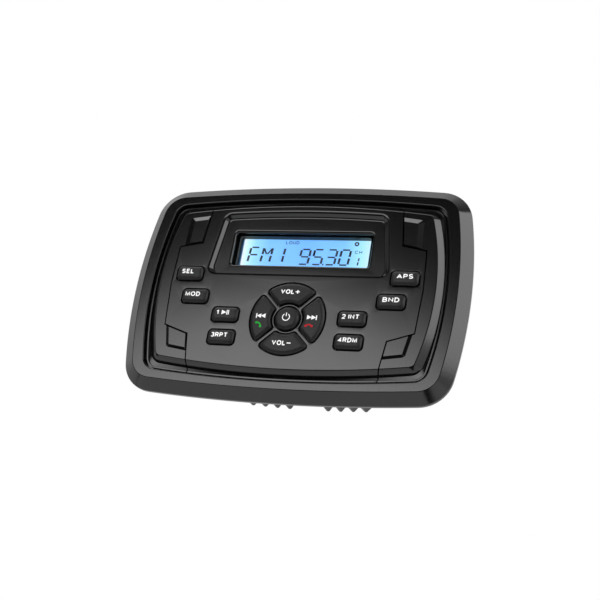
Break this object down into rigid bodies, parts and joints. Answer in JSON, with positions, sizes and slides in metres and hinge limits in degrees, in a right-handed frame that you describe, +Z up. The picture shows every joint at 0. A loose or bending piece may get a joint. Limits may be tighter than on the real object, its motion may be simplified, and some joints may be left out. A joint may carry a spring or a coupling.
{
  "type": "marine stereo",
  "caption": "Panel-mounted marine stereo receiver with a bowed bezel, blue display, round key pad, rectangular keys, lift-off screw covers and a ribbed rear body.",
  "frame": {"origin": "centre of the bezel's back face, in the middle of the four panel screw holes", "axes": "+Z up, +X to the right as seen from the front, face towards -Y, so +Y goes into the panel"},
  "size_m": [0.1564, 0.0563, 0.1054],
  "materials": {
    "black_plastic": "satin",
    "key_rubber": "matte",
    "clear_lens": "gloss",
    "display_glass": "gloss",
    "light_guide": "gloss",
    "dark_plastic": "matte",
    "foam": "matte",
    "circuit_board": "satin",
    "zinc_steel": "satin",
    "painted_sheet": "satin",
    "black_aluminium": "satin",
    "ivory_plastic": "satin",
    "ribbon_film": "gloss",
    "capacitor_sleeve": "gloss",
    "nickel": "polished",
    "fuse_plastic": "gloss"
  },
  "bodies": {
    "receiver": {"bezel_frame": "black_plastic", "panel_gasket": "foam", "faceplate": "black_plastic", "display_lens": "clear_lens", "lcd_holder": "dark_plastic", "lcd_panel": "display_glass", "lcd_backlight": "light_guide", "front_board": "circuit_board", "snap_domes": "zinc_steel", "board_connectors": "ivory_plastic", "ribbon_cable": "ribbon_film", "main_board": "circuit_board", "tuner_module": "zinc_steel", "amplifier_chip": "dark_plastic", "capacitors": "capacitor_sleeve", "rear_chassis": "painted_sheet", "heat_sink": "black_aluminium", "harness_socket": "ivory_plastic", "antenna_socket": "nickel", "line_out_sockets": "nickel", "fuse_holder": "dark_plastic", "blade_fuse": "fuse_plastic", "faceplate_screws": "zinc_steel", "board_screws": "zinc_steel", "chassis_screws": "zinc_steel", "main_board_screws": "zinc_steel", "heat_sink_screws": "zinc_steel"},
    "select_key": {"button_select": "key_rubber"},
    "mode_key": {"button_mode": "key_rubber"},
    "one_key": {"button_one": "key_rubber"},
    "three_key": {"button_three": "key_rubber"},
    "scan_key": {"button_scan": "key_rubber"},
    "band_key": {"button_band": "key_rubber"},
    "two_key": {"button_two": "key_rubber"},
    "four_key": {"button_four": "key_rubber"},
    "volume_up_key": {"button_volume_up": "key_rubber"},
    "volume_down_key": {"button_volume_down": "key_rubber"},
    "previous_key": {"button_previous": "key_rubber"},
    "next_key": {"button_next": "key_rubber"},
    "power_key": {"button_power": "key_rubber"},
    "left_cover": {"side_cover_left": "black_plastic"},
    "right_cover": {"side_cover_right": "black_plastic"}
  },
  "joints": [
    {"name": "select_press", "type": "slide", "parent": "receiver", "child": "select_key", "axis": [0, 1, 0], "range_m": [0, 0.0008], "stiffness_N_per_m": 1500},
    {"name": "mode_press", "type": "slide", "parent": "receiver", "child": "mode_key", "axis": [0, 1, 0], "range_m": [0, 0.0008], "stiffness_N_per_m": 1500},
    {"name": "one_press", "type": "slide", "parent": "receiver", "child": "one_key", "axis": [0, 1, 0], "range_m": [0, 0.0008], "stiffness_N_per_m": 1500},
    {"name": "three_press", "type": "slide", "parent": "receiver", "child": "three_key", "axis": [0, 1, 0], "range_m": [0, 0.0008], "stiffness_N_per_m": 1500},
    {"name": "scan_press", "type": "slide", "parent": "receiver", "child": "scan_key", "axis": [0, 1, 0], "range_m": [0, 0.0008], "stiffness_N_per_m": 1500},
    {"name": "band_press", "type": "slide", "parent": "receiver", "child": "band_key", "axis": [0, 1, 0], "range_m": [0, 0.0008], "stiffness_N_per_m": 1500},
    {"name": "two_press", "type": "slide", "parent": "receiver", "child": "two_key", "axis": [0, 1, 0], "range_m": [0, 0.0008], "stiffness_N_per_m": 1500},
    {"name": "four_press", "type": "slide", "parent": "receiver", "child": "four_key", "axis": [0, 1, 0], "range_m": [0, 0.0008], "stiffness_N_per_m": 1500},
    {"name": "volume_up_press", "type": "slide", "parent": "receiver", "child": "volume_up_key", "axis": [0, 1, 0], "range_m": [0, 0.0008], "stiffness_N_per_m": 1500},
    {"name": "volume_down_press", "type": "slide", "parent": "receiver", "child": "volume_down_key", "axis": [0, 1, 0], "range_m": [0, 0.0008], "stiffness_N_per_m": 1500},
    {"name": "previous_press", "type": "slide", "parent": "receiver", "child": "previous_key", "axis": [0, 1, 0], "range_m": [0, 0.0008], "stiffness_N_per_m": 1500},
    {"name": "next_press", "type": "slide", "parent": "receiver", "child": "next_key", "axis": [0, 1, 0], "range_m": [0, 0.0008], "stiffness_N_per_m": 1500},
    {"name": "power_press", "type": "slide", "parent": "receiver", "child": "power_key", "axis": [0, 1, 0], "range_m": [0, 0.0008], "stiffness_N_per_m": 1500},
    {"name": "left_cover_lift", "type": "slide", "parent": "receiver", "child": "left_cover", "axis": [0, -1, 0], "range_m": [0, 0.012]},
    {"name": "right_cover_lift", "type": "slide", "parent": "receiver", "child": "right_cover", "axis": [0, -1, 0], "range_m": [0, 0.012]}
  ]
}
